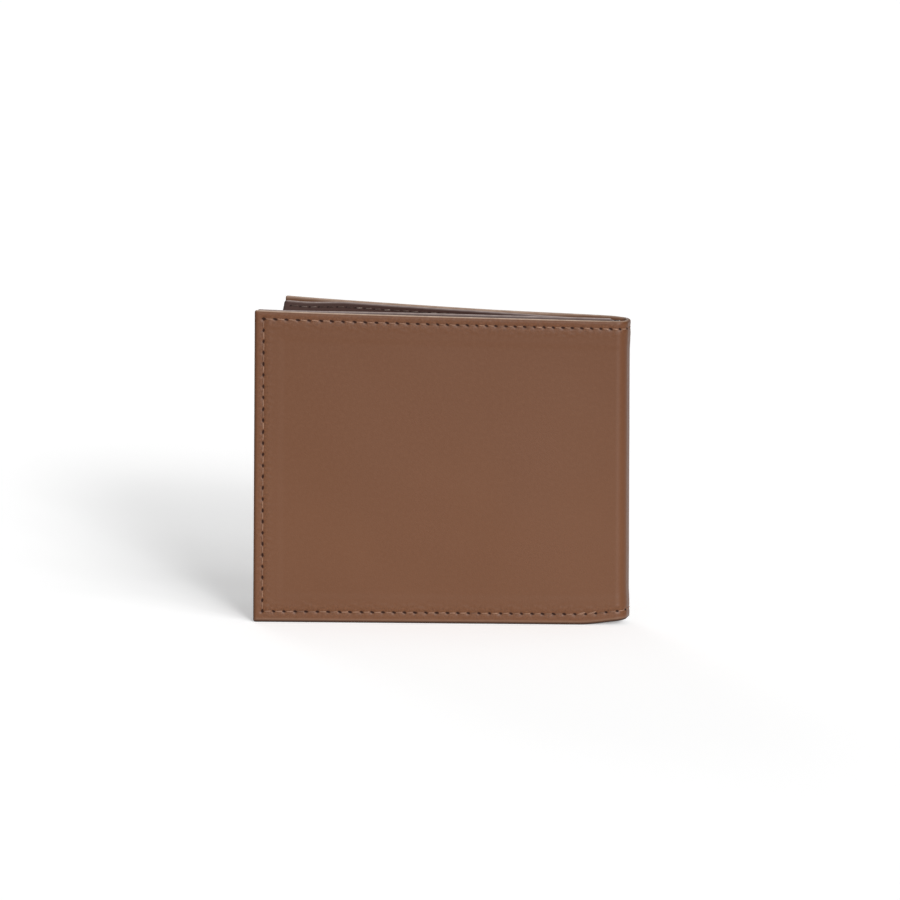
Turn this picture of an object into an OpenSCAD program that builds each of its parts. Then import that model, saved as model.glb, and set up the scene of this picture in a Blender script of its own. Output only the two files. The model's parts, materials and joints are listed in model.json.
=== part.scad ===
// Bifold wallet, standing on its long bottom edges with the leaves slightly open.
// Two leaves of layered leather and cloth are joined by a flexible leather spine.
// Frame: +Z up, fold towards +X, outer face of the front leaf towards -Y.
// Origin: middle of the underside of the whole part in its rest pose.

/* [Leaf] */
// Width of one leaf, free edge to outside of the fold
leaf_w = 110; // [100:1:125]
// Height of the wallet
leaf_h = 92; // [86:1:100]
// Radius of the two free corners of each leaf
corner_r = 0.8; // [0.6:0.1:3]
// Angle between the leaves at rest
open_deg = 18; // [8:1:60]

/* [Layers] */
// Thickness of the outer leather
leather_t = 1.2; // [1:0.1:1.5]
// Thickness of the stiffener board
board_t = 0.4; // [0.3:0.1:0.6]
// Thickness of the cloth lining
lining_t = 0.2; // [0.1:0.1:0.3]
// Depth of the banknote compartment
bill_gap = 0.8; // [0.5:0.1:1.2]
// Thickness of the cloth-faced divider
divider_t = 0.3; // [0.2:0.1:0.5]
// Thickness of the leather inner panel
panel_t = 0.5; // [0.4:0.1:0.7]
// Thickness of each card pocket layer
pocket_t = 0.45; // [0.4:0.05:0.6]
// Gap between the inner faces when the wallet is shut
shut_gap = 0.6; // [0.6:0.1:1.5]
// Width of the leather turned in over the edges
hem_w = 8; // [7:0.5:10]

/* [Card pockets] */
// Height of the lowest pocket mouth above the bottom edge
mouth_z = 48; // [46:1:50]
// Step from one pocket mouth to the next
mouth_step = 12; // [10:1:13]
// Height of each leather pocket strip
strip_h = 18; // [16:1:20]
// Distance of the pocket edge from the outside of the fold
pocket_inset = 13; // [11:1:16]

/* [Stitches] */
// Distance of the seam from the edges
seam_margin = 2.7; // [2.5:0.1:3]
// Length of one stitch step
stitch_pitch = 3.2; // [3:0.1:4]
// Length of the thread seen in one stitch
stitch_len = 2.4; // [2:0.1:2.6]
// Width of the thread
thread_w = 0.55; // [0.4:0.05:0.7]
// Height of a stitch above the surface it lies on
thread_h = 0.15; // [0.1:0.05:0.15]
// Width of the pressed seam channel on the outside
channel_w = 0.9; // [0.8:0.1:1.2]

/* [Hidden] */
eps = 0.01;
// Bend axes of the fold, measured in the shut pose
bend_r = leather_t / 2;
y_board = leather_t;
y_lining = y_board + board_t;
y_bill = y_lining + lining_t;
y_divider = y_bill + bill_gap;
y_panel = y_divider + divider_t;
y_upper = y_panel + panel_t;
y_middle = y_upper + pocket_t;
y_lower = y_middle + pocket_t;
leaf_t = y_lower + pocket_t;
shut_t = 2 * leaf_t + shut_gap;
span = shut_t - leather_t;
shut_axis_y = shut_t - bend_r;
// Position of the rear bend axis at rest
rear_axis_x = -bend_r + span * sin(open_deg / 2);
rear_axis_y = bend_r + span * cos(open_deg / 2);
// Size of the part at rest
x_max = rear_axis_x + bend_r;
y_max = rear_axis_y + (leaf_w - bend_r) * sin(open_deg) + bend_r * cos(open_deg);
x_mid = (x_max - leaf_w) / 2;
y_mid = y_max / 2;
// Edges of the layers near the fold
shell_end = leather_t + 0.3;
inner_end = leather_t + 0.6;
panel_end = leather_t + 2.8;
// Height steps
panel_top = leaf_h - 1;
panel_low = 0.5;
mouth_mid_z = mouth_z + mouth_step;
mouth_top_z = mouth_z + 2 * mouth_step;
channel_d = thread_h + 0.05;
seam_x = leaf_w - seam_margin;
seam_top = leaf_h - seam_margin;
row_count = floor((seam_x - inner_end - stitch_len / 2) / stitch_pitch + 0.5);
side_count = round((seam_top - seam_margin) / stitch_pitch);
side_pitch = (seam_top - seam_margin) / side_count;
panel_seam_z = panel_top - 1.8;
panel_count = floor((seam_x - panel_end - stitch_len / 2) / stitch_pitch + 0.5);
pocket_seam_x = pocket_inset + seam_margin;
pocket_count = floor((mouth_top_z - seam_margin) / stitch_pitch);
// Strip of the cloth divider across the fold
strap_x = leather_t + 1.7;
strap_t = 0.5;
strap_y = y_upper + 0.3;
strap_foot_h = 6;
spine_hem_t = 0.4;
spine_inset = leather_t + 0.1;

leather = [0.49, 0.345, 0.267];
leather_in = [0.40, 0.28, 0.22];
cloth = [0.20, 0.14, 0.12];
board = [0.55, 0.50, 0.42];
thread = [0.61, 0.47, 0.40];

// Places. Every layer is drawn in the shut pose, with the outside of the fold
// at x = 0 and the outer face of the front leaf at y = 0.

module at_front() {
  translate([-x_mid, -y_mid, 0])
    children();
}

module at_spine() {
  translate([-bend_r - x_mid, bend_r - y_mid, 0])
    rotate([0, 0, -open_deg / 2])
      translate([bend_r, -bend_r, 0])
        children();
}

module at_rear() {
  translate([rear_axis_x - x_mid, rear_axis_y - y_mid, 0])
    rotate([0, 0, -open_deg])
      translate([bend_r, -shut_axis_y, 0])
        translate([0, shut_t, 0])
          mirror([0, 1, 0])
            children();
}

// Shapes

// Flat plate between two distances from the fold and two heights
module plate(near_x, far_x, y, t, low_z, high_z) {
  translate([-far_x, y, low_z])
    cube([far_x - near_x, t, high_z - low_z]);
}

// The same plate with its two free corners rounded
module rounded_plate(near_x, far_x, y, t, low_z, high_z, r) {
  plate(near_x, far_x - r, y, t, low_z, high_z);
  plate(near_x, far_x, y, t, low_z + r, high_z - r);
  for (z = [low_z + r, high_z - r])
    translate([-(far_x - r), y, z])
      rotate([-90, 0, 0])
        cylinder(r = r, h = t, $fn = 48);
}

// One stitch lying along the leaf, and one standing upright
module flat_stitch(x, y, z) {
  translate([-x - stitch_len / 2, y, z - thread_w / 2])
    cube([stitch_len, thread_h, thread_w]);
}

module upright_stitch(x, y, z) {
  translate([-x - thread_w / 2, y, z - stitch_len / 2])
    cube([thread_w, thread_h, stitch_len]);
}

// Level of the innermost layer at a height beside the card pockets
function step_y(z) =
  z < mouth_z ? leaf_t : z < mouth_mid_z ? y_lower : z < mouth_top_z ? y_middle : y_upper;

// Layers of one leaf

module leaf_shell() {
  difference() {
    rounded_plate(shell_end, leaf_w, 0, leather_t, 0, leaf_h, corner_r);
    for (z = [seam_margin, seam_top])
      plate(shell_end - 1, seam_x, -1, 1 + channel_d, z - channel_w / 2, z + channel_w / 2);
    plate(
      seam_x - channel_w / 2, seam_x + channel_w / 2, -1, 1 + channel_d,
      seam_margin - channel_w / 2, seam_top + channel_w / 2
    );
  }
}

module leaf_turned_edges() {
  difference() {
    rounded_plate(inner_end, leaf_w, leather_t, y_divider - leather_t, 0, leaf_h, corner_r);
    plate(
      inner_end - 1, leaf_w - hem_w, leather_t - 1, y_divider - leather_t + 2,
      hem_w, leaf_h - hem_w
    );
    plate(
      inner_end - 1, leaf_w - hem_w, y_bill, y_divider - y_bill + 1,
      hem_w, leaf_h + 1
    );
  }
}

module leaf_stiffener() {
  plate(inner_end, leaf_w - hem_w, y_board, board_t, hem_w, leaf_h - hem_w);
}

module leaf_bill_lining() {
  plate(inner_end, leaf_w - hem_w, y_lining, lining_t, hem_w, leaf_h - hem_w);
}

module leaf_divider() {
  rounded_plate(
    panel_end, leaf_w - panel_low, y_divider, divider_t,
    panel_low, panel_top, corner_r
  );
}

module leaf_inner_panel() {
  rounded_plate(
    panel_end, leaf_w - panel_low, y_panel, panel_t,
    panel_low, panel_top, corner_r
  );
}

module leaf_pocket_strip(y, high_z) {
  plate(pocket_inset, leaf_w - panel_low, y, pocket_t, high_z - strip_h, high_z);
}

module leaf_pocket_bag(y, high_z) {
  plate(pocket_inset, leaf_w - panel_low, y, pocket_t, 1, high_z - strip_h);
}

module leaf_lower_pocket() {
  plate(pocket_inset, leaf_w - panel_low, y_lower, pocket_t, panel_low, mouth_z);
}

// Thread of the seam round the edges, outside and inside
module leaf_edge_stitches() {
  sunk_y = channel_d - thread_h;
  for (i = [0 : row_count - 1]) {
    x = seam_x - stitch_pitch * (i + 0.5);
    for (z = [seam_margin, seam_top])
      flat_stitch(x, sunk_y, z);
    if (x < leaf_w - hem_w - stitch_len / 2)
      flat_stitch(x, y_bill, seam_top);
    if (x > panel_end + stitch_len / 2)
      flat_stitch(x, x > pocket_inset - stitch_len / 2 ? leaf_t : y_upper, seam_margin);
  }
  for (i = [0 : side_count - 1]) {
    z = seam_margin + side_pitch * (i + 0.5);
    upright_stitch(seam_x, sunk_y, z);
    if (z < panel_seam_z - stitch_len)
      upright_stitch(seam_x, step_y(z - stitch_len / 2), z);
  }
}

module leaf_panel_stitches() {
  for (i = [0 : panel_count - 1])
    flat_stitch(seam_x - stitch_pitch * (i + 0.5), y_upper, panel_seam_z);
}

module leaf_slot_stitches() {
  for (i = [1 : pocket_count - 1]) {
    z = seam_margin + stitch_pitch * (i + 0.5);
    if (z < mouth_top_z - stitch_len / 2)
      upright_stitch(pocket_seam_x, step_y(z - stitch_len / 2), z);
  }
}

// Pieces of the spine

module spine_leather() {
  difference() {
    union() {
      translate([-leather_t, bend_r, 0])
        cube([leather_t, span, leaf_h]);
      for (y = [bend_r, shut_axis_y])
        translate([-bend_r, y, 0])
          cylinder(r = bend_r, h = leaf_h, $fn = 48);
    }
    for (z = [seam_margin, seam_top])
      translate([-channel_d, -1, z - channel_w / 2])
        cube([1 + channel_d, shut_t + 2, channel_w]);
  }
}

module spine_hems() {
  for (z = [0, leaf_h - hem_w])
    translate([-leather_t - spine_hem_t, spine_inset, z])
      cube([spine_hem_t, shut_t - 2 * spine_inset, hem_w]);
}

module spine_cloth() {
  translate([-leather_t - lining_t, spine_inset, hem_w])
    cube([lining_t, shut_t - 2 * spine_inset, leaf_h - 2 * hem_w]);
}

module spine_strap() {
  translate([-strap_x - strap_t, strap_y, panel_low])
    cube([strap_t, shut_t - 2 * strap_y, panel_top - panel_low]);
  translate([-strap_x - eps, strap_y, panel_low])
    cube([strap_x + eps - leather_t - spine_hem_t, shut_t - 2 * strap_y, strap_foot_h]);
}

module spine_thread() {
  for (z = [seam_margin, seam_top])
    for (i = [-1 : 1])
      translate([-channel_d, shut_t / 2 + i * stitch_pitch - stitch_len / 2, z - thread_w / 2])
        cube([thread_h, stitch_len, thread_w]);
}

// Nodes

module front_shell() { color(leather) at_front() leaf_shell(); }
module front_turned_edges() { color(leather) at_front() leaf_turned_edges(); }
module front_stiffener() { color(board) at_front() leaf_stiffener(); }
module front_bill_lining() { color(cloth) at_front() leaf_bill_lining(); }
module front_divider() { color(cloth) at_front() leaf_divider(); }
module front_inner_panel() { color(leather_in) at_front() leaf_inner_panel(); }
module front_slot_upper() { color(leather) at_front() leaf_pocket_strip(y_upper, mouth_top_z); }
module front_slot_middle() { color(leather) at_front() leaf_pocket_strip(y_middle, mouth_mid_z); }
module front_slot_lower() { color(leather) at_front() leaf_lower_pocket(); }
module front_slot_upper_lining() { color(cloth) at_front() leaf_pocket_bag(y_upper, mouth_top_z); }
module front_slot_middle_lining() { color(cloth) at_front() leaf_pocket_bag(y_middle, mouth_mid_z); }
module front_edge_stitches() { color(thread) at_front() leaf_edge_stitches(); }
module front_panel_stitches() { color(thread) at_front() leaf_panel_stitches(); }
module front_slot_stitches() { color(thread) at_front() leaf_slot_stitches(); }
module spine_shell() { color(leather) at_spine() spine_leather(); }
module spine_turned_edges() { color(leather) at_spine() spine_hems(); }
module spine_lining() { color(cloth) at_spine() spine_cloth(); }
module spine_divider() { color(cloth) at_spine() spine_strap(); }
module spine_stitches() { color(thread) at_spine() spine_thread(); }
module rear_shell() { color(leather) at_rear() leaf_shell(); }
module rear_turned_edges() { color(leather) at_rear() leaf_turned_edges(); }
module rear_stiffener() { color(board) at_rear() leaf_stiffener(); }
module rear_bill_lining() { color(cloth) at_rear() leaf_bill_lining(); }
module rear_divider() { color(cloth) at_rear() leaf_divider(); }
module rear_inner_panel() { color(leather_in) at_rear() leaf_inner_panel(); }
module rear_slot_upper() { color(leather) at_rear() leaf_pocket_strip(y_upper, mouth_top_z); }
module rear_slot_middle() { color(leather) at_rear() leaf_pocket_strip(y_middle, mouth_mid_z); }
module rear_slot_lower() { color(leather) at_rear() leaf_lower_pocket(); }
module rear_slot_upper_lining() { color(cloth) at_rear() leaf_pocket_bag(y_upper, mouth_top_z); }
module rear_slot_middle_lining() { color(cloth) at_rear() leaf_pocket_bag(y_middle, mouth_mid_z); }
module rear_edge_stitches() { color(thread) at_rear() leaf_edge_stitches(); }
module rear_panel_stitches() { color(thread) at_rear() leaf_panel_stitches(); }
module rear_slot_stitches() { color(thread) at_rear() leaf_slot_stitches(); }

front_shell();
front_turned_edges();
front_stiffener();
front_bill_lining();
front_divider();
front_inner_panel();
front_slot_upper();
front_slot_middle();
front_slot_lower();
front_slot_upper_lining();
front_slot_middle_lining();
front_edge_stitches();
front_panel_stitches();
front_slot_stitches();
spine_shell();
spine_turned_edges();
spine_lining();
spine_divider();
spine_stitches();
rear_shell();
rear_turned_edges();
rear_stiffener();
rear_bill_lining();
rear_divider();
rear_inner_panel();
rear_slot_upper();
rear_slot_middle();
rear_slot_lower();
rear_slot_upper_lining();
rear_slot_middle_lining();
rear_edge_stitches();
rear_panel_stitches();
rear_slot_stitches();
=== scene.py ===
"""Bifold wallet: the look. Lengths in the helpers are millimetres; Blender's are metres."""

import json
import math

import bmesh
import bpy
import numpy as np
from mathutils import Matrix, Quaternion, Vector


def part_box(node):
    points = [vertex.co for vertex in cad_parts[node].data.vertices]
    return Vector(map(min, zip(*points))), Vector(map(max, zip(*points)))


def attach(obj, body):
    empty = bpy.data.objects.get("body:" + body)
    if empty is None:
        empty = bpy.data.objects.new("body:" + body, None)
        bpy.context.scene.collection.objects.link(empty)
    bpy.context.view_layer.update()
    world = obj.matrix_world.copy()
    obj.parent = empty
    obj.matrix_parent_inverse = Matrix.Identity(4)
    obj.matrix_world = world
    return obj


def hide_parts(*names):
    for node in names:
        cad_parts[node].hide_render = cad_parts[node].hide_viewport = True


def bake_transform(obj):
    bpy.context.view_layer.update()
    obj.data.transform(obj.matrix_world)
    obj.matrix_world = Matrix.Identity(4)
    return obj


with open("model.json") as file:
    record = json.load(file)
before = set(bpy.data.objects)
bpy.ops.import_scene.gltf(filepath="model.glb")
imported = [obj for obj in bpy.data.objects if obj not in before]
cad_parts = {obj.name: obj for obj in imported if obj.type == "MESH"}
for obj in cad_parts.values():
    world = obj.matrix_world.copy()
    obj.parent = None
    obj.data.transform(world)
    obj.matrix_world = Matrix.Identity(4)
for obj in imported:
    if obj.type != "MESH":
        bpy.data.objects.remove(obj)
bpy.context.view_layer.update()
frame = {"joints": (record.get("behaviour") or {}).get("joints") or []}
MM = 0.001

# ---------------------------------------------------------------- the CAD frame
joints = {j["name"]: j for j in frame["joints"]}
shell_low, shell_high = (np.array(c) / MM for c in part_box("front_shell"))
panel_high = np.array(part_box("front_inner_panel")[1]) / MM
divider_low = np.array(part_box("front_divider")[0]) / MM
FREE_X = shell_low[0]
FACE_Y = shell_low[1]
HEIGHT = shell_high[2]
AXIS_FRONT = np.array(joints["front_fold"]["pos_m"][:2]) / MM
AXIS_REAR = np.array(joints["rear_fold"]["pos_m"][:2]) / MM
HALF_OPEN = -math.radians(joints["front_fold"]["range_deg"][0])
BEND_R = AXIS_FRONT[1] - FACE_Y
ALONG_SPINE = (AXIS_REAR - AXIS_FRONT) / np.linalg.norm(AXIS_REAR - AXIS_FRONT)
OUT = np.array([ALONG_SPINE[1], -ALONG_SPINE[0]])
MIDDLE = (AXIS_FRONT + AXIS_REAR) / 2

# ---------------------------------------------------------------- sizes
# outer leather: its folded edge, its turned edge, and the outline of a leaf
EDGE_T = 1.25
HEM_W = 8.0
HEM_DEPTH = 1.8
CORNER_R = 0.7
FOLD_R = 3.4
FREE_H = HEIGHT + 1.15
FOLD_H = HEIGHT - 1.4
FOLD_LIFT = 1.5
LIFT_REACH = 11.0
REAR_SWELL = 0.4
BOW = 0.45
TAPER_FREE = 0.5
TAPER_CHANGE = 0.9
GRID = 0.36
# seams: how far the rows lie from the edges, and the needle holes
SIDE_MARGIN = 2.7
TOP_MARGIN = 2.4
LOW_MARGIN = 3.25
HOLE_LONG = 0.60
HOLE_WIDE = 0.35
HOLE_DEPTH = 0.22
GROOVE_DEPTH = 0.07
THREAD_START = 0.5
THREAD_SINK = 0.40
THREAD_RISE = 0.47
# layers inside a leaf, as depths under the outer face
BOARD_DEPTH = 1.22
BOARD_T = 0.36
LINING_DEPTH = 1.66
LINING_TUCK = 1.0
# the divider's free part across the fold
DIVIDER_T = 0.4
DIVIDER_LOW = 2.2
DIVIDER_INWARD = 2.4
# where the leather's bend would begin and end, past the ends of its arc, and the divider's share of that;
# nothing uses them to bend a piece
BEND_BEFORE = 0.6
BEND_AFTER = 0.3
DIVIDER_BEND = 0.79

# ---------------------------------------------------------------- the fold's path
turn = math.pi / 2 - HALF_OPEN
half_span = np.linalg.norm(AXIS_REAR - AXIS_FRONT) / 2
to_corner = half_span + BEND_R * math.tan(turn / 2)
tangent = FOLD_R * math.tan(turn / 2)
SPINE_FLAT = to_corner - tangent
ARC = FOLD_R * turn
spine_mid = MIDDLE + BEND_R * OUT
corner = spine_mid - ALONG_SPINE * to_corner
FLAT = corner[0] - tangent - FREE_X
LENGTH = FLAT + ARC + SPINE_FLAT
arc_start = corner + np.array([-tangent, 0.0])
arc_centre = arc_start + np.array([0.0, FOLD_R])


def smooth(x, low, high):
    """0 below low, 1 above high, and a smooth step between them."""
    t = np.clip((x - low) / (high - low), 0, 1)
    return t * t * (3 - 2 * t)


def ripple(a, b, scale, seed, count=14):
    """Smooth noise of about unit size from a few seeded waves."""
    rng = np.random.default_rng(seed)
    total = np.zeros_like(np.asarray(a, float))
    for _ in range(count):
        angle, phase = rng.uniform(0, 2 * math.pi, 2)
        k = 2 * math.pi / (scale * rng.uniform(0.7, 1.6))
        total += np.sin(k * (a * math.cos(angle) + b * math.sin(angle)) + phase)
    return total / math.sqrt(count)


def swell(a):
    """Share of the rear leaf's swelling just before the fold."""
    return smooth(a, 60, FLAT - 2) * (1 - smooth(a, FLAT - 4, FLAT + ARC))


def leaf_height(side, a):
    """Height of the leaf's top; the rear one swells a little before the fold."""
    height = FREE_H + (FOLD_H - FREE_H) * np.clip(a / FLAT, 0, 1) ** 0.75
    return height + (REAR_SWELL * swell(a) if side == "rear" else 0.0)


def bow(a, b):
    """How far the leaf's face stands out, in all its layers alike."""
    across = np.sin(np.clip(b / HEIGHT, 0, 1) * math.pi) ** 1.2
    along = smooth(a, 0, 30) * (1 - smooth(a, 70, 104))
    return BOW * across * along


def place(side, a, b, depth):
    """The point at a along the leather from the free edge, b up it, and depth under its face."""
    a, b, depth = (np.asarray(v, float) for v in (a, b, depth))
    a, b, depth = np.broadcast_arrays(a, b, depth)
    x, y = np.empty(a.shape), np.empty(a.shape)
    out = bow(a, b)
    edge = np.minimum(b, HEIGHT - b)
    out = out + 0.18 * np.exp(-(((edge - 2.0) / 5.0) ** 2)) * smooth(a, FLAT - 1, FLAT + ARC)
    d = depth - out
    flat = a <= FLAT
    x[flat] = FREE_X + a[flat]
    y[flat] = FACE_Y + d[flat]
    bend = (a > FLAT) & (a <= FLAT + ARC)
    angle = (a[bend] - FLAT) / FOLD_R
    x[bend] = arc_centre[0] + (FOLD_R - d[bend]) * np.sin(angle)
    y[bend] = arc_centre[1] - (FOLD_R - d[bend]) * np.cos(angle)
    spine = a > FLAT + ARC
    left = LENGTH - a[spine]
    x[spine] = spine_mid[0] - ALONG_SPINE[0] * left - OUT[0] * d[spine]
    y[spine] = spine_mid[1] - ALONG_SPINE[1] * left - OUT[1] * d[spine]
    # the leaf is cut a little narrower at the top than at the bottom
    taper = (b / HEIGHT - 0.5) * (TAPER_FREE - TAPER_CHANGE * a / LENGTH)
    at_fold = smooth(a, FLAT, LENGTH)
    x = x + taper * (1 + at_fold * (OUT[0] - 1))
    y = y + taper * at_fold * OUT[1]
    low = np.clip(1 - b / HEIGHT, 0, 1) ** 3
    lift = FOLD_LIFT * smooth(a, FLAT - LIFT_REACH, FLAT + ARC + 1) * low
    z = b * leaf_height(side, a) / HEIGHT + lift
    return mirrored(side, np.stack([x, y, z], -1))


def mirrored(side, points):
    """The rear half is the front half mirrored about the plane that halves the opening."""
    if side == "front":
        return points
    points = points.copy()
    off = (points[..., :2] - MIDDLE) @ ALONG_SPINE
    points[..., :2] -= 2 * off[..., None] * ALONG_SPINE
    return points


# ---------------------------------------------------------------- meshes
def make_mesh(name, points, faces, materials, face_material=None, data=None, flip=False):
    """A mesh from millimetre points, quads and per-point data, merged where points coincide."""
    faces = np.asarray(faces)
    if flip:
        faces = faces[:, ::-1]
    mesh = bpy.data.meshes.new(name)
    mesh.vertices.add(len(points))
    mesh.vertices.foreach_set("co", (np.asarray(points) * MM).ravel())
    mesh.loops.add(faces.size)
    mesh.loops.foreach_set("vertex_index", faces.ravel())
    mesh.polygons.add(len(faces))
    mesh.polygons.foreach_set("loop_start", np.arange(len(faces)) * faces.shape[1])
    if face_material is not None:
        mesh.polygons.foreach_set("material_index", np.asarray(face_material, np.int32))
    for key, values in (data or {}).items():
        values = np.asarray(values, float)
        if values.ndim == 2:
            layer = mesh.attributes.new(key, "FLOAT_VECTOR", "POINT")
            layer.data.foreach_set("vector", values.astype(np.float32).ravel())
        else:
            layer = mesh.attributes.new(key, "FLOAT", "POINT")
            layer.data.foreach_set("value", values.astype(np.float32))
    mesh.update(calc_edges=True)
    for material in materials:
        mesh.materials.append(material)
    bm = bmesh.new()
    bm.from_mesh(mesh)
    bmesh.ops.remove_doubles(bm, verts=bm.verts, dist=2e-7)
    bmesh.ops.dissolve_degenerate(bm, edges=bm.edges, dist=1e-8)
    bm.to_mesh(mesh)
    bm.free()
    mesh.shade_smooth()
    obj = bpy.data.objects.new(name, mesh)
    bpy.context.scene.collection.objects.link(obj)
    return obj


def steps(low, high, step):
    """Even values from low to high, about a step apart."""
    return np.linspace(low, high, max(2, int(round((high - low) / step)) + 1))


def grid_quads(rows, columns, wrap=False):
    """Quads of a grid of points, rows first; wrap joins the last column to the first."""
    across = columns if wrap else columns - 1
    i, j = (v.ravel() for v in np.meshgrid(np.arange(rows - 1), np.arange(across), indexing="ij"))
    k = (j + 1) % columns
    return np.stack([i * columns + j, (i + 1) * columns + j, (i + 1) * columns + k, i * columns + k], 1)


def ring_points(a_lines, b_lines, inset, box, corner_r, closed, fan):
    """One ring round a plate at an inset from its outline, as (a, b) pairs: along the low side,
    up the free edge, back along the high side, and down the far edge of a closed plate."""
    a0, a1, b0, b1 = box
    r = max(corner_r - inset, 0.0)
    keep = max(inset, corner_r)
    inner_a = np.clip(a_lines, a0 + keep, a1 - (keep if closed else 0.0))
    inner_b = np.clip(b_lines, b0 + keep, b1 - keep)

    def line(a, b):
        return np.column_stack(np.broadcast_arrays(a, b))

    def corner_fan(a, b, start):
        t = start - math.pi / 2 * np.arange(1, fan) / fan
        return np.column_stack([a + r * np.cos(t), b + r * np.sin(t)])

    parts = [
        line(inner_a[::-1], b0 + inset),
        corner_fan(a0 + keep, b0 + keep, -math.pi / 2),
        line(a0 + inset, inner_b),
        corner_fan(a0 + keep, b1 - keep, math.pi),
        line(inner_a, b1 - inset),
    ]
    if closed:
        parts += [
            corner_fan(a1 - keep, b1 - keep, math.pi / 2),
            line(a1 - inset, inner_b[::-1]),
            corner_fan(a1 - keep, b0 + keep, 0.0),
        ]
    return np.concatenate(parts)


def plate(box, profile, corner_r, step, closed, back, fan=5):
    """Nominal (a, b, depth) points and quads of a plate with a shaped edge.
    profile is (inset, depth) from the face's border round the edge; the first entry is the face."""
    a0, a1, b0, b1 = box
    first, face_depth = profile[0]
    a_lines = steps(a0 + first, a1 - (first if closed else 0), step)
    b_lines = steps(b0 + first, b1 - first, step)
    na, nb = len(a_lines), len(b_lines)
    grid_a, grid_b = np.meshgrid(a_lines, b_lines, indexing="ij")
    pts = [np.stack([grid_a.ravel(), grid_b.ravel(), np.full(na * nb, face_depth)], 1)]
    grid = grid_quads(na, nb)
    quads = [grid]
    total = na * nb
    previous = None
    for inset, depth in profile:
        ring = ring_points(a_lines, b_lines, inset, box, corner_r, closed, fan)
        n = len(ring)
        pts.append(np.column_stack([ring, np.full(n, depth)]))
        here = total + np.arange(n)
        total += n
        if previous is not None:
            k = np.arange(n if closed else n - 1)
            after = (k + 1) % n
            quads.append(np.stack([previous[after], here[after], here[k], previous[k]], 1))
        previous = here
    if back:
        pts.append(np.stack([grid_a.ravel(), grid_b.ravel(), np.full(na * nb, profile[-1][1])], 1))
        quads.append(grid[:, ::-1] + total)
    return np.concatenate(pts), np.concatenate(quads)


def round_edge(border, depth, thickness, count=7):
    """Profile from a plate's face round its edge to its back."""
    r = thickness / 2
    out = [(border, depth), (r * 1.6, depth)]
    for i in range(1, count):
        t = math.pi / 2 - math.pi * i / count
        out.append((r - r * math.cos(t), depth + r - r * math.sin(t)))
    out += [(r * 1.6, depth + thickness), (border, depth + thickness)]
    return out


# ---------------------------------------------------------------- seams
def spread(start, end, first, last):
    """Needle holes from start to end; the pitch goes from first to last over the row's first half."""
    count = int(round((end - start) / (0.3 * first + 0.7 * last)))
    along = (np.arange(count) + 0.5) / count
    pitch = last + (first - last) / (1 + np.exp((along - 0.3) * 12))
    return start + (end - start) * np.concatenate([[0], np.cumsum(pitch)]) / pitch.sum()


HIGH_ROW = HEIGHT - TOP_MARGIN
top_holes = spread(SIDE_MARGIN, LENGTH, 3.4, 2.8)
low_holes = spread(SIDE_MARGIN, LENGTH, 3.3, 3.15)
side_holes = spread(LOW_MARGIN, HIGH_ROW, 3.3, 3.3)
back_holes = low_holes[-7:-4] + 0.6


def nearest(values, holes):
    """Signed distance of each value from the hole nearest to it."""
    k = np.clip(np.searchsorted(holes, values), 1, len(holes) - 1)
    left, right = values - holes[k - 1], values - holes[k]
    return np.where(np.abs(left) < np.abs(right), left, right)


def row_data(along, across, holes):
    """(stitches counted along the row, distance across it, distance past its ends)."""
    count = np.interp(along, holes, np.arange(len(holes)))
    beyond = np.maximum(holes[0] - along, 0) + np.maximum(along - holes[-1], 0)
    return np.column_stack([count, across, beyond])


def seam_rows(a, b):
    """For each row: the distance along it, the distance across it, and its holes."""
    return {
        "row_low": (a, b - LOW_MARGIN, low_holes),
        "row_top": (a, HIGH_ROW - b, top_holes),
        "row_side": (b, a - SIDE_MARGIN, side_holes),
    }


# how much the needle holes of each row slant
SLANT = {"row_low": -0.18, "row_top": 0.18, "row_side": 0.06}


def seam_relief(a, b):
    """Height of the outer face round its seams: holes, the sunk line, and the puckers beside it."""
    height = np.zeros(a.shape)
    for name, (along, across, holes) in seam_rows(a, b).items():
        inside = smooth(along, holes[0] - 0.8, holes[0] - 0.1)
        inside = inside * (1 - smooth(along, holes[-1] + 0.1, holes[-1] + 0.8))
        near = nearest(along, holes)
        lean = across - SLANT[name] * near
        height -= inside * HOLE_DEPTH * np.exp(-((near / 0.5) ** 2) - (lean / 0.32) ** 2)
        height -= inside * GROOVE_DEPTH * np.exp(-((across / 0.6) ** 2))
        pull = 0.5 + 0.5 * np.cos(2 * math.pi * near / 3.2)
        height -= inside * 0.02 * pull * np.exp(-((across / 1.5) ** 2))
        crumple = ripple(a, b, 1.7, 5) * 0.025 + 0.022
        height += inside * crumple * np.exp(-(((across - 1.8) / 1.2) ** 2))
        height += inside * (crumple - 0.02) * 0.8 * np.exp(-(((across + 1.2) / 0.9) ** 2))
    return height


# ---------------------------------------------------------------- materials
def node_tree(name):
    """A new material with an output and one Principled shader."""
    material = bpy.data.materials.new(name)
    material.use_nodes = True
    tree = material.node_tree
    tree.nodes.clear()
    out = tree.nodes.new("ShaderNodeOutputMaterial")
    shader = tree.nodes.new("ShaderNodeBsdfPrincipled")
    tree.links.new(shader.outputs[0], out.inputs[0])
    return material, tree, shader


def put(tree, socket, value):
    """Link a socket, or set its own value."""
    if isinstance(value, bpy.types.NodeSocket):
        tree.links.new(value, socket)
    elif isinstance(value, tuple) and len(value) == 3 and socket.type == "RGBA":
        socket.default_value = (*value, 1.0)
    else:
        socket.default_value = value


def add(tree, name, inputs=None, **props):
    node = tree.nodes.new("ShaderNode" + name)
    for key, value in props.items():
        setattr(node, key, value)
    for key, value in (inputs or {}).items():
        put(tree, node.inputs[key], value)
    return node


def attribute(tree, name, what="Fac"):
    return add(tree, "Attribute", attribute_name=name).outputs[what]


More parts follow.
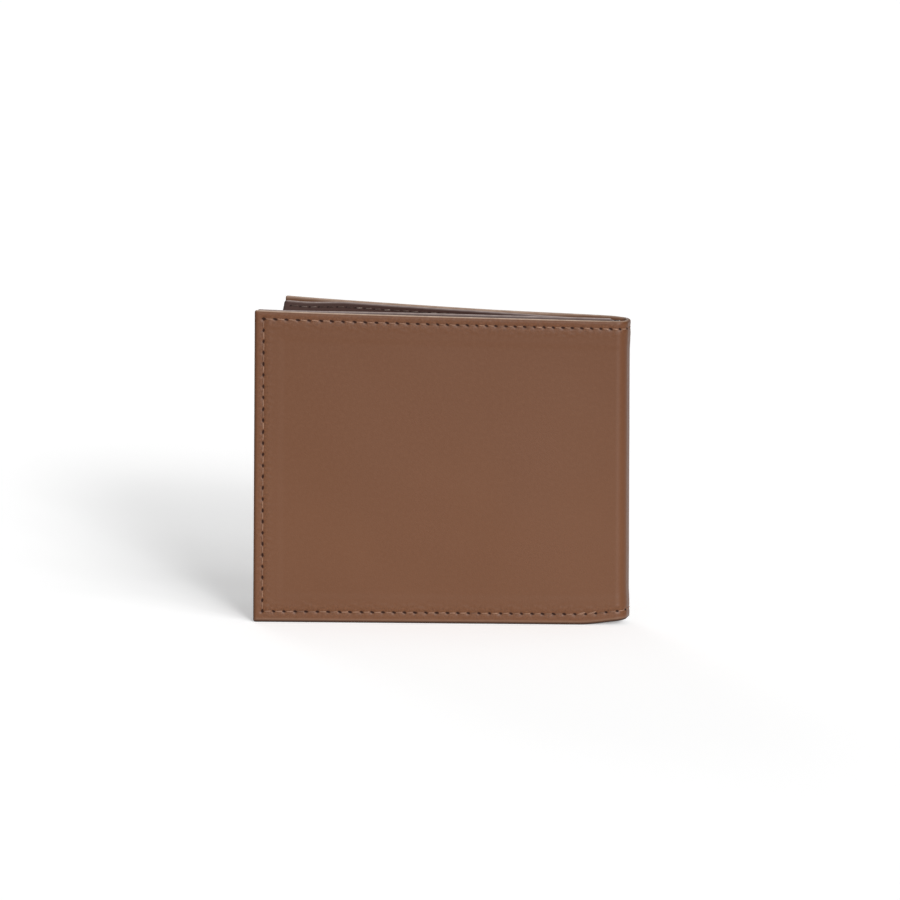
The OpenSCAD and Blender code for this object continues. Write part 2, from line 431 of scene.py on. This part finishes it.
def calc(tree, operation, a, b=0.0, clamp=False):
    return add(tree, "Math", {0: a, 1: b}, operation=operation, use_clamp=clamp).outputs[0]


def mix_colour(tree, fac, a, b):
    return add(tree, "Mix", {0: fac, 6: a, 7: b}, data_type="RGBA").outputs[2]


def ramp(tree, value, low, high, first=0.0, last=1.0):
    return add(tree, "MapRange", {0: value, 1: low, 2: high, 3: first, 4: last}, clamp=True).outputs[0]


def noise(tree, cut, scale, detail=3.0):
    return add(tree, "TexNoise", {"Vector": cut, "Scale": scale, "Detail": detail}).outputs[0]


def needle_row(tree, name, pitch, seed):
    """Masks of the needle holes and of the puckered leather beside one row of stitches."""
    count, across, beyond = add(tree, "SeparateXYZ", {0: attribute(tree, name, "Vector")}).outputs
    number = calc(tree, "ROUND", count)
    lot = calc(tree, "ADD", number, seed)
    chance = add(tree, "TexWhiteNoise", {"W": lot}, noise_dimensions="1D").outputs[1]
    one, two, three = add(tree, "SeparateColor", {0: chance}).outputs
    near = calc(tree, "MULTIPLY", calc(tree, "SUBTRACT", count, number), pitch)
    near = calc(tree, "ADD", near, ramp(tree, one, 0.0, 1.0, -0.12, 0.12))
    slant = ramp(tree, two, 0.0, 1.0, SLANT[name] - 0.12, SLANT[name] + 0.12)
    off = calc(tree, "SUBTRACT", across, calc(tree, "MULTIPLY", near, slant))
    past = calc(tree, "ADD", calc(tree, "ABSOLUTE", near), beyond)
    long = calc(tree, "DIVIDE", past, ramp(tree, three, 0.0, 1.0, 0.8 * HOLE_LONG, 1.1 * HOLE_LONG))
    long = calc(tree, "MULTIPLY", long, long)
    wide = calc(tree, "DIVIDE", calc(tree, "MULTIPLY", off, off), HOLE_WIDE ** 2)
    hole = ramp(tree, calc(tree, "ADD", long, wide), 0.5, 1.5, 1.0, 0.0)
    away = calc(tree, "ADD", calc(tree, "ABSOLUTE", across), beyond)
    pucker = ramp(tree, away, 0.6, 2.8, 1.0, 0.0)
    return hole, pucker


def leather(name, colour, dark, light, highlight_colour, rows=(), roughness=0.46, grain=0.12, grain_size=0.42):
    """Smooth full-grain leather. Sizes are millimetres on the cut sheet."""
    material, tree, shader = node_tree(name)
    cut = attribute(tree, "cut", "Vector")
    fine = noise(tree, cut, 0.9, 4.0)
    tone = mix_colour(tree, ramp(tree, noise(tree, cut, 0.035), 0.3, 0.7, 0.6, 1.0), dark, colour)
    # painted shade: the leather grows darker towards its top
    up = add(tree, "SeparateXYZ", {0: cut}).outputs[1]
    tone = mix_colour(tree, ramp(tree, up, 0.3 * HEIGHT, HEIGHT), tone, dark)
    tone = mix_colour(tree, ramp(tree, fine, 0.45, 0.8, 0.0, 0.35), tone, light)
    cells = add(tree, "TexVoronoi", {"Vector": cut, "Scale": 1.0 / grain_size}).outputs[0]
    pores = ramp(tree, cells, 0.0, 0.65, 0.0, 0.7)
    height = calc(tree, "ADD", pores, calc(tree, "MULTIPLY", fine, 0.6))
    if rows:
        hole, pucker = needle_row(tree, *rows[0])
        for row in rows[1:]:
            more = needle_row(tree, *row)
            hole, pucker = (calc(tree, "MAXIMUM", a, b) for a, b in zip((hole, pucker), more))
        crumple = noise(tree, cut, 1.7, 2.0)
        # painted highlights and painted shade in spots on the puckered leather beside the seams
        pucker_highlight = calc(tree, "MULTIPLY", pucker, ramp(tree, crumple, 0.55, 0.68, 0.0, 0.45))
        tone = mix_colour(tree, pucker_highlight, tone, tuple(1.35 * c for c in colour))
        pucker_shade = calc(tree, "MULTIPLY", pucker, ramp(tree, crumple, 0.34, 0.46, 0.4, 0.0))
        tone = mix_colour(tree, pucker_shade, tone, tuple(0.45 * c for c in colour))
        puckers = calc(tree, "MULTIPLY", calc(tree, "MULTIPLY", pucker, crumple), 3.5)
        height = calc(tree, "ADD", height, puckers)
    else:
        hole = ramp(tree, attribute(tree, "pit"), 0.25, 0.75)
    patchy = ramp(tree, noise(tree, cut, 0.35, 4.0), 0.2, 0.6, 0.6, 1.0)
    # painted highlight: a pale colour mixed in along the edges, broken up by noise
    tone = mix_colour(tree, calc(tree, "MULTIPLY", attribute(tree, "rim"), patchy), tone, highlight_colour)
    # painted shade: where the shade mask is set, the colour goes nearly black
    shaded = calc(tree, "MULTIPLY", attribute(tree, "shade"), 0.9)
    tone = mix_colour(tree, shaded, tone, tuple(0.12 * c for c in colour))
    # painted shade: the needle holes are coloured nearly black, standing in for the shade in their depth
    pit = tuple(c * share for c, share in zip(colour, (0.12, 0.06, 0.03)))
    tone = mix_colour(tree, calc(tree, "MULTIPLY", hole, 0.95), tone, pit)
    put(tree, shader.inputs["Base Color"], tone)
    bump = add(tree, "Bump", {"Height": height, "Strength": grain, "Distance": 0.0001})
    put(tree, shader.inputs["Normal"], bump.outputs[0])
    matt = ramp(tree, fine, 0.2, 0.8, roughness - 0.05, roughness + 0.07)
    matt = calc(tree, "MAXIMUM", matt, calc(tree, "MULTIPLY", hole, 0.9))
    put(tree, shader.inputs["Roughness"], matt)
    shader.inputs["Specular IOR Level"].default_value = 0.25
    return material


def cloth(name, colour, light, thread=0.34):
    """Plain-woven lining cloth; thread is the yarn's width in millimetres."""
    material, tree, shader = node_tree(name)
    cut = attribute(tree, "cut", "Vector")
    across, along, _ = add(tree, "SeparateXYZ", {0: cut}).outputs
    warp = calc(tree, "SINE", calc(tree, "MULTIPLY", across, math.pi / thread))
    weft = calc(tree, "SINE", calc(tree, "MULTIPLY", along, math.pi / thread))
    over = calc(tree, "MULTIPLY", warp, weft)
    cloud = ramp(tree, noise(tree, cut, 0.4, 5.0), 0.2, 0.7)
    tone = mix_colour(tree, calc(tree, "MULTIPLY", ramp(tree, over, -1.0, 1.0), cloud), colour, light)
    put(tree, shader.inputs["Base Color"], tone)
    bump = add(tree, "Bump", {"Height": over, "Strength": 0.5, "Distance": 0.00012})
    put(tree, shader.inputs["Normal"], bump.outputs[0])
    shader.inputs["Roughness"].default_value = 0.85
    shader.inputs["Sheen Weight"].default_value = 0.25
    shader.inputs["Sheen Roughness"].default_value = 0.5
    return material


def thread_material(name, colour, light):
    """Waxed thread; its twist is in the mesh, and the valleys of the twist are darkened with painted shade.
    """
    material, tree, shader = node_tree(name)
    cut = attribute(tree, "cut", "Vector")
    fine = noise(tree, cut, 2.2, 4.0)
    lit = calc(tree, "MULTIPLY", attribute(tree, "tint"), ramp(tree, fine, 0.25, 0.65, 0.4, 1.0))
    tone = mix_colour(tree, lit, colour, light)
    twist_shade = calc(tree, "MULTIPLY", attribute(tree, "ply"), 0.6)
    tone = mix_colour(tree, twist_shade, tone, tuple(0.45 * c for c in colour))
    put(tree, shader.inputs["Base Color"], tone)
    bump = add(tree, "Bump", {"Height": fine, "Strength": 0.3, "Distance": 0.00005})
    put(tree, shader.inputs["Normal"], bump.outputs[0])
    shader.inputs["Roughness"].default_value = 0.6
    shader.inputs["Specular IOR Level"].default_value = 0.2
    return material


SEAM_ROWS = (("row_low", 3.2, 11.0), ("row_top", 3.1, 211.0), ("row_side", 3.3, 411.0))
# the fourth colour of each leather is the pale colour of its painted edge highlight
outer_leather = leather(
    "outer_leather", (0.107, 0.0405, 0.0155), (0.0905, 0.0320, 0.0110), (0.116, 0.0460, 0.0190),
    (0.44, 0.33, 0.26), SEAM_ROWS,
)
inner_leather = leather(
    "inner_leather", (0.056, 0.0280, 0.0225), (0.048, 0.0240, 0.0195), (0.068, 0.0350, 0.0280),
    (0.38, 0.31, 0.29),
)
pocket_leather = leather(
    "pocket_leather", (0.105, 0.049, 0.030), (0.097, 0.045, 0.028), (0.12, 0.058, 0.036),
    (0.26, 0.15, 0.10),
)
lining_cloth = cloth("lining_cloth", (0.018, 0.010, 0.008), (0.045, 0.027, 0.021))
board = cloth("board", (0.25, 0.20, 0.14), (0.34, 0.28, 0.20), 0.8)
seam_thread = thread_material("seam_thread", (0.13, 0.062, 0.036), (0.36, 0.205, 0.135))
inner_thread = thread_material("inner_thread", (0.055, 0.032, 0.025), (0.36, 0.28, 0.24))


# ---------------------------------------------------------------- pieces
def across_fold(obj, side, share=1.0):
    """Bakes the piece's transform into its mesh. The ends of the bend over the fold's arc, and a share of
    the way between them, are worked out but not used; the piece is not bent.
    """
    ends = (FLAT - BEND_BEFORE, FLAT + ARC + BEND_AFTER)
    near_cover, near_spine = (place(side, a, 0, 0) * (MM, MM, 0) for a in ends)
    near_spine = near_cover + share * (near_spine - near_cover)
    if side == "front":
        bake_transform(obj)
    else:
        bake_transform(obj)


def edge_data(a, b, depth, thickness, high):
    """Masks of the outer leather: a painted highlight along the top edges, on both sides, and a faint one
    just above the bottom; painted shade under the bottom edge and along the free edge.
    """
    top, low = HEIGHT - b, b
    lit = np.exp(-((top / 0.27) ** 4)) * smooth(thickness + 0.3 - depth, 0.0, 0.3)
    lit = lit * (1 - 0.45 * smooth(a, FLAT - 10, FLAT + 1))
    inside = 0.35 + 0.25 * smooth(a, 8, 20) - 0.45 * smooth(a, FLAT - 25, FLAT - 8)
    lit = np.maximum(lit, inside * np.exp(-((top / 0.9) ** 4)) * smooth(depth, high, thickness))
    lit = np.maximum(lit, 0.12 * np.exp(-(((low - 0.95) / 0.25) ** 2)) * (depth < 0.4))
    # painted shade: a dark line under the bottom edge, and a lighter one along the free edge
    under = np.exp(-((low / 0.62) ** 4))
    beside = 0.55 * np.exp(-((a / 0.45) ** 4)) * (1 - smooth(-top, -1.0, -0.2))
    return lit, np.maximum(under, beside)


def outer_half(side):
    """The outer leather of one half, its edges turned in."""
    profile = round_edge(1.2, 0.0, EDGE_T, 9)[:-1]
    profile += [(3.0, 1.3), (5.0, 1.55), (HEM_W - 0.3, HEM_DEPTH), (HEM_W, HEM_DEPTH - 0.25), (HEM_W, 1.2)]
    nominal, quads = plate((0, LENGTH, 0, HEIGHT), profile, CORNER_R, GRID, False, False, 7)
    a, b, depth = nominal.T
    # masks of the painted edge highlight and the painted edge shade
    rim, shade = edge_data(a, b, depth, EDGE_T, 0.6)
    inset = np.minimum(np.minimum(a, b), HEIGHT - b)
    hem_step = 0.06 * (1 - smooth(inset, HEM_W - 1.2, HEM_W + 1.2))
    raised = seam_relief(a, b) + hem_step + 0.02 * ripple(a, b, 26, 3)
    face = depth < 0.05
    data = {"cut": nominal, "rim": rim, "shade": shade}
    for name, row in seam_rows(a, b).items():
        values = row_data(*row)
        values[~face, 2] += HEM_W
        data[name] = values
    points = place(side, a, b, depth - np.where(face, raised, 0.0))
    obj = make_mesh(f"outer_leather_{side}", points, quads, [outer_leather], data=data, flip=side == "rear")
    across_fold(obj, side)
    nodes = [f"{side}_shell", f"{side}_turned_edges"]
    if side == "front":
        nodes += ["spine_shell", "spine_turned_edges"]
    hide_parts(*nodes)


def flat_piece(side, name, box, depth, thickness, material, nodes, corner_r=1.0, step=1.5,
               back_material=None, lift=None, relief=None):
    """A thin closed plate with rounded edges, lying in the leaf's layers."""
    profile = round_edge(max(corner_r, thickness * 0.9), depth, thickness, 7)
    nominal, quads = plate(box, profile, corner_r, step, True, True)
    a, b, d = nominal.T
    inset = np.minimum(np.minimum(a - box[0], box[1] - a), np.minimum(b - box[2], box[3] - b))
    # painted highlight along the top edge, faint along the other edges
    rim = np.exp(-((inset / 0.22) ** 2)) * np.where(box[3] - b < 0.6, 1.0, 0.15)
    # pit: mask of the needle holes' painted shade
    pit = np.zeros(len(a))
    if relief is not None:
        change, pit = relief(a, b, d)
        d = d + change
    if lift is not None:
        a, b, d = lift(a, b, d)
    # painted shade at the free end of each flat piece
    shade = 0.6 * np.exp(-(((nominal[:, 0] - box[0]) / 0.7) ** 2))
    data = {"cut": nominal, "rim": rim, "pit": pit, "shade": shade}
    materials, which = [material], None
    if back_material is not None:
        materials.append(back_material)
        outside = (nominal[:, 2] < depth + thickness * 0.25) & (box[3] - nominal[:, 1] > HEM_W - 2)
        which = outside.astype(int)[quads].min(1)
    obj = make_mesh(name, place(side, a, b, d), quads, materials, which, data, flip=side == "rear")
    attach(obj, f"{side}_cover")
    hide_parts(*nodes)
    return obj


def stitches(rows, fade):
    """Points, quads and data of twisted stitches; a higher fade leaves fewer of them pale.
    Each row is (holes, across, level, direction, slant, facing, thickness)."""
    sides, rings, twist = 10, 15, 5.5
    rng = np.random.default_rng(17)
    points, quads, plies, tints = [], [], [], []
    count = 0
    theta = np.linspace(0, 2 * math.pi, sides, endpoint=False)
    tau = np.linspace(0, 1, rings)
    arch = np.sin(math.pi * tau) ** 0.5
    ring_quads = grid_quads(rings, sides, wrap=True)[:, ::-1]
    for holes, across, level, direction, slant, facing, thick in rows:
        for k in range(len(holes) - 1):
            lean, sink, shift, tint = rng.uniform(-1, 1, 4)
            start, end = holes[k] + THREAD_START, holes[k + 1] - THREAD_START
            along = start + (end - start) * tau
            centre = across + (slant + 0.12 * lean) * (tau - 0.5) + 0.05 * shift
            rise = -THREAD_SINK + (THREAD_RISE + 0.05 * sink) * arch
            lobes = 1 + 0.13 * np.cos(3 * (theta[None, :] - twist * tau[:, None] * 2))
            r = thick * lobes * (0.75 + 0.25 * arch)[:, None]
            u = centre[:, None] + r * np.cos(theta)
            d = level(along)[:, None] - facing * (rise[:, None] + r * 0.9 * np.sin(theta))
            al = np.broadcast_to(along[:, None], u.shape)
            pair = (al, u) if direction == "a" else (u, al)
            points.append(np.stack([pair[0].ravel(), pair[1].ravel(), d.ravel()], 1))
            # ply: where the twist's valleys get painted shade
            plies.append(np.clip(0.5 - (lobes - 1) * 3.8, 0, 1).ravel())
            tints.append(np.full(u.size, (0.5 + 0.5 * tint) ** fade))
            outward = (direction == "a") == (facing > 0)
            quads.append((ring_quads[:, ::-1] if outward else ring_quads) + count)
            count += u.size
    data = {"ply": np.concatenate(plies), "tint": np.concatenate(tints)}
    return np.concatenate(points), np.concatenate(quads), data


def thread_piece(side, name, rows, nodes, material=seam_thread, fold=False, lift=None, fade=0.5):
    """All the stitches of some rows as one piece."""
    nominal, quads, data = stitches(rows, fade)
    data["cut"] = nominal
    where = nominal.T if lift is None else lift(*nominal.T)
    obj = make_mesh(name, place(side, *where), quads, [material], data=data, flip=side == "rear")
    if fold:
        across_fold(obj, side)
    else:
        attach(obj, f"{side}_cover")
    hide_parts(*nodes)


def flat_level(depth):
    """The same depth all along a row of stitches."""
    return lambda along: np.full(np.shape(along), float(depth))


DIVIDER_DEPTH = divider_low[1] - FACE_Y
PANEL_FACE = panel_high[1] - FACE_Y - 0.02
PANEL_END = panel_high[0] - FREE_X
PANEL_TOP = HEIGHT + 0.05
PANEL_ROW = PANEL_TOP - 1.5
PANEL_BOX = (0.5, PANEL_END, 0.5, PANEL_TOP)
panel_holes = spread(SIDE_MARGIN, PANEL_END - 2.0, 2.95, 2.95)


def node_box(node):
    """A front node's (a0, a1, b0, b1), its depth under the face and its thickness."""
    low, high = (np.array(c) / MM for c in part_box(node))
    return (low[0] - FREE_X, high[0] - FREE_X, low[2], high[2]), low[1] - FACE_Y, high[1] - low[1]


def panel_lift(side):
    """The panel's free top edge stands a little away from the shell and dips at its free corner."""
    open_by = 1.5 if side == "front" else 0.5
    drop = -0.35 if side == "front" else 0.3
    dip = 0.35 if side == "front" else 0.85
    reach = 55 if side == "front" else 22
    sink = 0.0 if side == "front" else REAR_SWELL + 0.3

    def lift(a, b, d):
        up = smooth(b, 40, HEIGHT)
        middle = smooth(a, 3, 34) * (1 - smooth(a, 84, 112) * 0.35)
        top = smooth(b, HEIGHT - 14, HEIGHT)
        spread_out = 0.6 * (1 - smooth(b, HEIGHT - 4.5, HEIGHT)) * (1 - smooth(a, 0, 8))
        down = drop + dip * (1 - smooth(a, 6, reach)) + sink * swell(a)
        return a - spread_out, b - top * down, d + open_by * up * up * middle

    return lift


def panel_relief(a, b, d):
    """Stitch holes and the sunk line of the inner panel's top row, on its face."""
    near = nearest(a, panel_holes)
    inside = smooth(a, panel_holes[0] - 0.6, panel_holes[0])
    inside = inside * (1 - smooth(a, panel_holes[-1], panel_holes[-1] + 0.6))
    across = b - PANEL_ROW
    hole = np.exp(-((near / 0.45) ** 2) - (across / 0.32) ** 2) * inside
    face = smooth(d, PANEL_FACE - 0.3, PANEL_FACE - 0.1)
    # the second value is the mask where the holes get painted shade
    return -face * (0.25 * hole + 0.12 * inside * np.exp(-((across / 0.5) ** 2))), hole * face


def compartment_lining(side):
    """Cloth lining of the banknote compartment, tucked under the turned edges."""
    a_lines = steps(HEM_W - LINING_TUCK, LENGTH, 1.2)
    b_lines = steps(HEM_W - LINING_TUCK, HEIGHT - HEM_W + LINING_TUCK, 1.5)
    a, b = (v.ravel() for v in np.meshgrid(a_lines, b_lines, indexing="ij"))
    nominal = np.column_stack([a, b, np.full(a.size, LINING_DEPTH)])
    quads = grid_quads(len(a_lines), len(b_lines))[:, ::-1]
    obj = make_mesh(f"compartment_lining_{side}", place(side, *nominal.T), quads, [lining_cloth],
                    data={"cut": nominal}, flip=side == "rear")
    across_fold(obj, side)
    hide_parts(f"{side}_bill_lining", *(["spine_lining"] if side == "front" else []))


def divider_fold(side):
    """The cloth divider where it crosses from the leaf's panel to the middle of the spine."""
    count = 28
    t = np.linspace(0, 1, count)[:, None]
    p0 = np.array([FREE_X + PANEL_END - 8.5, FACE_Y + DIVIDER_DEPTH + 0.25])
    p3 = MIDDLE - OUT * DIVIDER_INWARD
    p1, p2 = p0 + np.array([10.0, 0.1]), p3 - ALONG_SPINE * 2.0
    # a Bezier curve in the horizontal plane
    path = (1 - t) ** 3 * p0 + 3 * (1 - t) ** 2 * t * p1 + 3 * (1 - t) * t ** 2 * p2 + t ** 3 * p3
    run = np.concatenate([[0], np.cumsum(np.linalg.norm(np.diff(path, axis=0), axis=1))])
    b_lines = steps(DIVIDER_LOW, FOLD_H - 0.5, 2.0)
    nb = len(b_lines)
    points = np.column_stack([np.repeat(path, nb, axis=0), np.tile(b_lines, count)])
    cut = np.column_stack([np.repeat(run, nb), np.tile(b_lines, count), np.zeros(count * nb)])
    obj = make_mesh(f"divider_fold_{side}", mirrored(side, points), grid_quads(count, nb)[:, ::-1],
                    [lining_cloth], data={"cut": cut}, flip=side == "rear")
    solid = obj.modifiers.new("thickness", "SOLIDIFY")
    solid.thickness = DIVIDER_T * MM
    solid.offset = 0.0
    across_fold(obj, side, DIVIDER_BEND)
    if side == "front":
        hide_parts("spine_divider")


def card_pockets(side, lift):
    """Cloth bags first, then the leather strips; returns each strip's (mouth height, face depth)."""
    for which in ("upper", "middle"):
        box, depth, thick = node_box(f"front_slot_{which}_lining")
        obj = flat_piece(side, f"pocket_cloth_{which}_{side}", box, depth + 0.02, thick - 0.04, lining_cloth,
                         [f"{side}_slot_{which}_lining"], 0.3, 3.0, lift=lift)
    mouths = []
    for which in ("upper", "middle", "lower"):
        box, depth, thick = node_box(f"front_slot_{which}")
        mouths.append((box[3], depth + thick))

        def crease(a, b, d, top=box[3], far=depth + thick):
            """The pressed line under a pocket's mouth."""
            line = np.exp(-(((b - (top - 2.2)) / 0.35) ** 2))
            return -0.12 * line * smooth(d, far - 0.2, far - 0.05), np.zeros(len(a))

        flat_piece(side, f"pocket_{which}_{side}", box, depth, thick, pocket_leather,
                   [f"{side}_slot_{which}"], 0.8, 0.9, lift=lift, relief=crease)
    return mouths


def build_side(side):
    """Every piece of one half of the wallet."""
    outer_half(side)
    board_box = (HEM_W + 0.2, FLAT - 1.5, HEM_W + 0.2, HEIGHT - HEM_W - 0.2)
    flat_piece(side, f"board_{side}", board_box, BOARD_DEPTH, BOARD_T, board,
               [f"{side}_stiffener"], 0.5, 3.0)
    compartment_lining(side)
    lift = panel_lift(side)
    flat_piece(side, f"inner_panel_{side}", PANEL_BOX, DIVIDER_DEPTH, PANEL_FACE + 0.02 - DIVIDER_DEPTH,
               inner_leather, [f"{side}_divider", f"{side}_inner_panel"], 1.0, 0.6,
               lining_cloth, lift, panel_relief)
    mouths = card_pockets(side, lift)
    lowest_face = mouths[-1][1]
    mouth_end = node_box("front_slot_lower")[0][1]

    def side_level(along):
        """Depth of the face under a stitch of an upright seam: the outermost strip there."""
        height = float(np.mean(along)) - 1.5
        depth = max([PANEL_FACE] + [far for top, far in mouths if height < top])
        return np.full(along.shape, depth)

    def low_level(along):
        """Depth of the face under a stitch of the bottom seam."""
        return np.full(along.shape, lowest_face if np.mean(along) < mouth_end else PANEL_FACE)

    thread_piece(side, f"thread_panel_{side}",
                 [(panel_holes, PANEL_ROW, flat_level(PANEL_FACE), "a", 0.15, -1, 0.16)],
                 [f"{side}_panel_stitches"], inner_thread, lift=lift, fade=2.0)
    pocket_holes = spread(LOW_MARGIN, mouths[0][0] - 0.8, 3.2, 3.2)
    thread_piece(side, f"thread_pocket_{side}",
                 [(pocket_holes, mouth_end - SIDE_MARGIN, side_level, "b", 0.15, -1, 0.2)],
                 [f"{side}_slot_stitches"], lift=lift)
    inner_low = low_holes[low_holes < PANEL_END - 0.5]
    inner_side = side_holes[side_holes < PANEL_TOP - 3]
    rows = [
        (low_holes, LOW_MARGIN, flat_level(0.0), "a", 0.12, 1, 0.17),
        (back_holes, LOW_MARGIN + 0.3, flat_level(-0.06), "a", 0.35, 1, 0.25),
        (top_holes, HIGH_ROW, flat_level(0.0), "a", -0.12, 1, 0.17),
        (side_holes, SIDE_MARGIN, flat_level(0.0), "b", 0.08, 1, 0.17),
        (top_holes, HIGH_ROW, flat_level(1.3), "a", 0.2, -1, 0.2),
        (inner_low, LOW_MARGIN, low_level, "a", 0.2, -1, 0.2),
        (inner_side, SIDE_MARGIN, side_level, "b", 0.2, -1, 0.2),
    ]
    nodes = [f"{side}_edge_stitches"] + (["spine_stitches"] if side == "front" else [])
    thread_piece(side, f"thread_edge_{side}", rows, nodes, fold=True)
    divider_fold(side)


for side in ("front", "rear"):
    build_side(side)

# ---------------------------------------------------------------- floor, light and camera
REACH = 30.0
WORLD_LIGHT = 0.215
WORLD_SEEN = 1.05
FLOOR_GLOW = 0.32

floor_mesh = bpy.data.meshes.new("floor")
corners = [(-REACH, -REACH, 0), (REACH, -REACH, 0), (REACH, REACH, 0), (-REACH, REACH, 0)]
floor_mesh.from_pydata(corners, [], [(0, 1, 2, 3)])
floor = bpy.data.objects.new("floor", floor_mesh)
bpy.context.scene.collection.objects.link(floor)
floor_material, tree, shader = node_tree("floor")
mottle = noise(tree, attribute(tree, "position", "Vector"), 3.0)
pale = mix_colour(tree, mottle, (0.93, 0.93, 0.93), (0.94, 0.94, 0.94))
put(tree, shader.inputs["Base Color"], pale)
shader.inputs["Roughness"].default_value = 0.9
shader.inputs["Specular IOR Level"].default_value = 0.1
shader.inputs["Emission Color"].default_value = (1, 1, 1, 1)
shader.inputs["Emission Strength"].default_value = FLOOR_GLOW
floor_mesh.materials.append(floor_material)

world = bpy.data.worlds.new("studio")
bpy.context.scene.world = world
world.use_nodes = True
sky = world.node_tree
background = sky.nodes["Background"]
background.inputs[0].default_value = (1, 1, 1, 1)
background.inputs[1].default_value = WORLD_LIGHT
seen = add(sky, "Background", {0: (1, 1, 1, 1), 1: WORLD_SEEN})
ray = add(sky, "LightPath").outputs["Is Camera Ray"]
both = add(sky, "MixShader", {0: ray, 1: background.outputs[0], 2: seen.outputs[0]})
put(sky, sky.nodes["World Output"].inputs[0], both.outputs[0])


def lamp(name, azimuth, elevation, angle, strength):
    """A soft far light; azimuth 0 is in front of the wallet, and positive is to its right."""
    data = bpy.data.lights.new(name, "SUN")
    data.angle = math.radians(angle)
    data.energy = strength
    obj = bpy.data.objects.new(name, data)
    az, el = math.radians(azimuth), math.radians(elevation)
    way = Vector((math.sin(az) * math.cos(el), -math.cos(az) * math.cos(el), math.sin(el)))
    obj.location = way
    obj.rotation_euler = (-way).to_track_quat("-Z", "Y").to_euler()
    bpy.context.scene.collection.objects.link(obj)


lamp("key_low", 16, 15, 9, 1.9)
lamp("key_middle", 22, 18, 11, 1.15)
lamp("key_high", 32, 27, 14, 0.58)
lamp("side", 46, 38, 20, 0.5)
lamp("top", 180, 75, 45, 0.16)
lamp("back", 200, 16, 20, 0.5)

CAM_AZ, CAM_EL, CAM_ROLL = (math.radians(v) for v in (1.63, 7.45, 0.25))
CAM_DIST = 1.7
SENSOR_W = 36
IMAGE_W = 900
PIXELS_PER_MM = 3.345
# the point looked at: from the free edge, from the front face and above the floor
AIM_ALONG, AIM_IN, AIM_UP = 57.48, 20.0, 49.36
AIM = Vector((FREE_X + AIM_ALONG, FACE_Y + AIM_IN, AIM_UP)) * MM
camera_data = bpy.data.cameras.new("camera")
camera = bpy.data.objects.new("camera", camera_data)
bpy.context.scene.collection.objects.link(camera)
level = math.cos(CAM_EL)
back = Vector((math.sin(CAM_AZ) * level, -math.cos(CAM_AZ) * level, math.sin(CAM_EL)))
camera.location = AIM + back * CAM_DIST
camera.rotation_mode = "QUATERNION"
camera.rotation_quaternion = (-back).to_track_quat("-Z", "Y") @ Quaternion((0, 0, 1), CAM_ROLL)
camera_data.sensor_width = SENSOR_W
camera_data.lens = PIXELS_PER_MM * 1000 * CAM_DIST * SENSOR_W / IMAGE_W
camera_data.clip_start = 0.01
bpy.context.scene.camera = camera
bpy.context.scene.view_settings.view_transform = "Standard"
